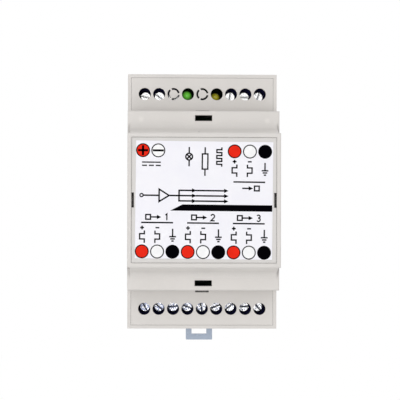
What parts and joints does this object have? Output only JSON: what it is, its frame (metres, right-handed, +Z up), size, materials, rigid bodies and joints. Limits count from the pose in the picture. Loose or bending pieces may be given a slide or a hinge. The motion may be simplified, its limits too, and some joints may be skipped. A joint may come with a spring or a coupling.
{
  "type": "dmx splitter",
  "caption": "Rail-mounted DMX splitter in a stepped grey module housing, with screw terminals at both ends, indicator lamps and a pull-down rail latch.",
  "frame": {"origin": "centre of the flat rail seat on the back of the base", "axes": "+X across the modules to the right as seen from the front, +Z up, -Y to the front and +Y to the rail"},
  "size_m": [0.0524, 0.058, 0.0951],
  "materials": {
    "housing": "light grey moulded plastic",
    "panel": "light grey moulded plastic",
    "label": "white printed film",
    "latch": "blue-grey moulded plastic",
    "board": "green solder mask",
    "terminal": "blue moulded plastic",
    "screw": "bright zinc plating",
    "cage": "nickel-plated brass",
    "green_lens": "green lens, lit",
    "yellow_lens": "yellow lens, dim",
    "package": "black moulded resin",
    "can": "sleeved aluminium can",
    "resistor": "pale blue lacquer"
  },
  "bodies": {
    "housing": {"base_housing": "housing", "top_cover": "housing", "circuit_board": "board", "power_terminal_block": "terminal", "input_terminal_block": "terminal", "output_1_terminal_block": "terminal", "output_2_terminal_block": "terminal", "output_3_terminal_block": "terminal", "power_led": "green_lens", "signal_led": "yellow_lens", "termination_header": "package", "input_receiver_chip": "package", "output_1_driver_chip": "package", "output_2_driver_chip": "package", "output_3_driver_chip": "package", "voltage_regulator": "package", "input_capacitor": "can", "output_capacitor": "can", "protection_diode": "package", "termination_resistor": "resistor", "power_led_resistor": "resistor", "signal_led_resistor": "resistor"},
    "latch": {"rail_latch": "latch"},
    "front_panel": {"front_panel": "panel", "front_label": "label"},
    "terminal_cover_top": {"terminal_cover_top": "housing"},
    "terminal_cover_bottom": {"terminal_cover_bottom": "housing"},
    "jumper": {"termination_jumper": "package"},
    "power_screw_1": {"power_screw_1": "screw"},
    "power_screw_2": {"power_screw_2": "screw"},
    "power_screw_3": {"power_screw_3": "screw"},
    "input_screw_1": {"input_screw_1": "screw"},
    "input_screw_2": {"input_screw_2": "screw"},
    "input_screw_3": {"input_screw_3": "screw"},
    "output_1_screw_1": {"output_1_screw_1": "screw"},
    "output_1_screw_2": {"output_1_screw_2": "screw"},
    "output_1_screw_3": {"output_1_screw_3": "screw"},
    "output_2_screw_1": {"output_2_screw_1": "screw"},
    "output_2_screw_2": {"output_2_screw_2": "screw"},
    "output_2_screw_3": {"output_2_screw_3": "screw"},
    "output_3_screw_1": {"output_3_screw_1": "screw"},
    "output_3_screw_2": {"output_3_screw_2": "screw"},
    "output_3_screw_3": {"output_3_screw_3": "screw"},
    "power_cage_1": {"power_cage_1": "cage"},
    "power_cage_2": {"power_cage_2": "cage"},
    "power_cage_3": {"power_cage_3": "cage"},
    "input_cage_1": {"input_cage_1": "cage"},
    "input_cage_2": {"input_cage_2": "cage"},
    "input_cage_3": {"input_cage_3": "cage"},
    "output_1_cage_1": {"output_1_cage_1": "cage"},
    "output_1_cage_2": {"output_1_cage_2": "cage"},
    "output_1_cage_3": {"output_1_cage_3": "cage"},
    "output_2_cage_1": {"output_2_cage_1": "cage"},
    "output_2_cage_2": {"output_2_cage_2": "cage"},
    "output_2_cage_3": {"output_2_cage_3": "cage"},
    "output_3_cage_1": {"output_3_cage_1": "cage"},
    "output_3_cage_2": {"output_3_cage_2": "cage"},
    "output_3_cage_3": {"output_3_cage_3": "cage"}
  },
  "joints": [
    {"name": "latch_pull", "type": "slide", "parent": "housing", "child": "latch", "axis": [0, 0, -1], "range_m": [0, 0.0035], "stiffness_N_per_m": 2500},
    {"name": "front_panel_lift", "type": "slide", "parent": "housing", "child": "front_panel", "axis": [0, -1, 0], "range_m": [0, 0.004]},
    {"name": "terminal_cover_top_lift", "type": "slide", "parent": "housing", "child": "terminal_cover_top", "axis": [0, -1, 0], "range_m": [0, 0.007]},
    {"name": "terminal_cover_bottom_lift", "type": "slide", "parent": "housing", "child": "terminal_cover_bottom", "axis": [0, -1, 0], "range_m": [0, 0.007]},
    {"name": "jumper_pull", "type": "slide", "parent": "housing", "child": "jumper", "axis": [0, -1, 0], "range_m": [0, 0.0046]},
    {"name": "power_screw_1_turn", "type": "hinge", "parent": "housing", "child": "power_screw_1", "pos_m": [-0.02, -0.0232, 0.03725], "axis": [0, 1, 0], "range_deg": [0, 1440]},
    {"name": "power_screw_2_turn", "type": "hinge", "parent": "housing", "child": "power_screw_2", "pos_m": [-0.015, -0.0232, 0.03725], "axis": [0, 1, 0], "range_deg": [0, 1440]},
    {"name": "power_screw_3_turn", "type": "hinge", "parent": "housing", "child": "power_screw_3", "pos_m": [-0.01, -0.0232, 0.03725], "axis": [0, 1, 0], "range_deg": [0, 1440]},
    {"name": "input_screw_1_turn", "type": "hinge", "parent": "housing", "child": "input_screw_1", "pos_m": [0.01, -0.0232, 0.03725], "axis": [0, 1, 0], "range_deg": [0, 1440]},
    {"name": "input_screw_2_turn", "type": "hinge", "parent": "housing", "child": "input_screw_2", "pos_m": [0.015, -0.0232, 0.03725], "axis": [0, 1, 0], "range_deg": [0, 1440]},
    {"name": "input_screw_3_turn", "type": "hinge", "parent": "housing", "child": "input_screw_3", "pos_m": [0.02, -0.0232, 0.03725], "axis": [0, 1, 0], "range_deg": [0, 1440]},
    {"name": "output_1_screw_1_turn", "type": "hinge", "parent": "housing", "child": "output_1_screw_1", "pos_m": [-0.02, -0.0232, -0.03725], "axis": [0, 1, 0], "range_deg": [0, 1440]},
    {"name": "output_1_screw_2_turn", "type": "hinge", "parent": "housing", "child": "output_1_screw_2", "pos_m": [-0.015, -0.0232, -0.03725], "axis": [0, 1, 0], "range_deg": [0, 1440]},
    {"name": "output_1_screw_3_turn", "type": "hinge", "parent": "housing", "child": "output_1_screw_3", "pos_m": [-0.01, -0.0232, -0.03725], "axis": [0, 1, 0], "range_deg": [0, 1440]},
    {"name": "output_2_screw_1_turn", "type": "hinge", "parent": "housing", "child": "output_2_screw_1", "pos_m": [-0.005, -0.0232, -0.03725], "axis": [0, 1, 0], "range_deg": [0, 1440]},
    {"name": "output_2_screw_2_turn", "type": "hinge", "parent": "housing", "child": "output_2_screw_2", "pos_m": [0, -0.0232, -0.03725], "axis": [0, 1, 0], "range_deg": [0, 1440]},
    {"name": "output_2_screw_3_turn", "type": "hinge", "parent": "housing", "child": "output_2_screw_3", "pos_m": [0.005, -0.0232, -0.03725], "axis": [0, 1, 0], "range_deg": [0, 1440]},
    {"name": "output_3_screw_1_turn", "type": "hinge", "parent": "housing", "child": "output_3_screw_1", "pos_m": [0.01, -0.0232, -0.03725], "axis": [0, 1, 0], "range_deg": [0, 1440]},
    {"name": "output_3_screw_2_turn", "type": "hinge", "parent": "housing", "child": "output_3_screw_2", "pos_m": [0.015, -0.0232, -0.03725], "axis": [0, 1, 0], "range_deg": [0, 1440]},
    {"name": "output_3_screw_3_turn", "type": "hinge", "parent": "housing", "child": "output_3_screw_3", "pos_m": [0.02, -0.0232, -0.03725], "axis": [0, 1, 0], "range_deg": [0, 1440]},
    {"name": "power_cage_1_lift", "type": "slide", "parent": "housing", "child": "power_cage_1", "axis": [0, -1, 0], "range_m": [0, 0.002]},
    {"name": "power_cage_2_lift", "type": "slide", "parent": "housing", "child": "power_cage_2", "axis": [0, -1, 0], "range_m": [0, 0.002]},
    {"name": "power_cage_3_lift", "type": "slide", "parent": "housing", "child": "power_cage_3", "axis": [0, -1, 0], "range_m": [0, 0.002]},
    {"name": "input_cage_1_lift", "type": "slide", "parent": "housing", "child": "input_cage_1", "axis": [0, -1, 0], "range_m": [0, 0.002]},
    {"name": "input_cage_2_lift", "type": "slide", "parent": "housing", "child": "input_cage_2", "axis": [0, -1, 0], "range_m": [0, 0.002]},
    {"name": "input_cage_3_lift", "type": "slide", "parent": "housing", "child": "input_cage_3", "axis": [0, -1, 0], "range_m": [0, 0.002]},
    {"name": "output_1_cage_1_lift", "type": "slide", "parent": "housing", "child": "output_1_cage_1", "axis": [0, -1, 0], "range_m": [0, 0.002]},
    {"name": "output_1_cage_2_lift", "type": "slide", "parent": "housing", "child": "output_1_cage_2", "axis": [0, -1, 0], "range_m": [0, 0.002]},
    {"name": "output_1_cage_3_lift", "type": "slide", "parent": "housing", "child": "output_1_cage_3", "axis": [0, -1, 0], "range_m": [0, 0.002]},
    {"name": "output_2_cage_1_lift", "type": "slide", "parent": "housing", "child": "output_2_cage_1", "axis": [0, -1, 0], "range_m": [0, 0.002]},
    {"name": "output_2_cage_2_lift", "type": "slide", "parent": "housing", "child": "output_2_cage_2", "axis": [0, -1, 0], "range_m": [0, 0.002]},
    {"name": "output_2_cage_3_lift", "type": "slide", "parent": "housing", "child": "output_2_cage_3", "axis": [0, -1, 0], "range_m": [0, 0.002]},
    {"name": "output_3_cage_1_lift", "type": "slide", "parent": "housing", "child": "output_3_cage_1", "axis": [0, -1, 0], "range_m": [0, 0.002]},
    {"name": "output_3_cage_2_lift", "type": "slide", "parent": "housing", "child": "output_3_cage_2", "axis": [0, -1, 0], "range_m": [0, 0.002]},
    {"name": "output_3_cage_3_lift", "type": "slide", "parent": "housing", "child": "output_3_cage_3", "axis": [0, -1, 0], "range_m": [0, 0.002]}
  ],
  "couplings": [
    {"joint": "power_screw_1_turn", "follows": "power_cage_1_lift", "rad_per_m": 12566},
    {"joint": "power_screw_2_turn", "follows": "power_cage_2_lift", "rad_per_m": 12566},
    {"joint": "power_screw_3_turn", "follows": "power_cage_3_lift", "rad_per_m": 12566},
    {"joint": "input_screw_1_turn", "follows": "input_cage_1_lift", "rad_per_m": 12566},
    {"joint": "input_screw_2_turn", "follows": "input_cage_2_lift", "rad_per_m": 12566},
    {"joint": "input_screw_3_turn", "follows": "input_cage_3_lift", "rad_per_m": 12566},
    {"joint": "output_1_screw_1_turn", "follows": "output_1_cage_1_lift", "rad_per_m": 12566},
    {"joint": "output_1_screw_2_turn", "follows": "output_1_cage_2_lift", "rad_per_m": 12566},
    {"joint": "output_1_screw_3_turn", "follows": "output_1_cage_3_lift", "rad_per_m": 12566},
    {"joint": "output_2_screw_1_turn", "follows": "output_2_cage_1_lift", "rad_per_m": 12566},
    {"joint": "output_2_screw_2_turn", "follows": "output_2_cage_2_lift", "rad_per_m": 12566},
    {"joint": "output_2_screw_3_turn", "follows": "output_2_cage_3_lift", "rad_per_m": 12566},
    {"joint": "output_3_screw_1_turn", "follows": "output_3_cage_1_lift", "rad_per_m": 12566},
    {"joint": "output_3_screw_2_turn", "follows": "output_3_cage_2_lift", "rad_per_m": 12566},
    {"joint": "output_3_screw_3_turn", "follows": "output_3_cage_3_lift", "rad_per_m": 12566}
  ]
}
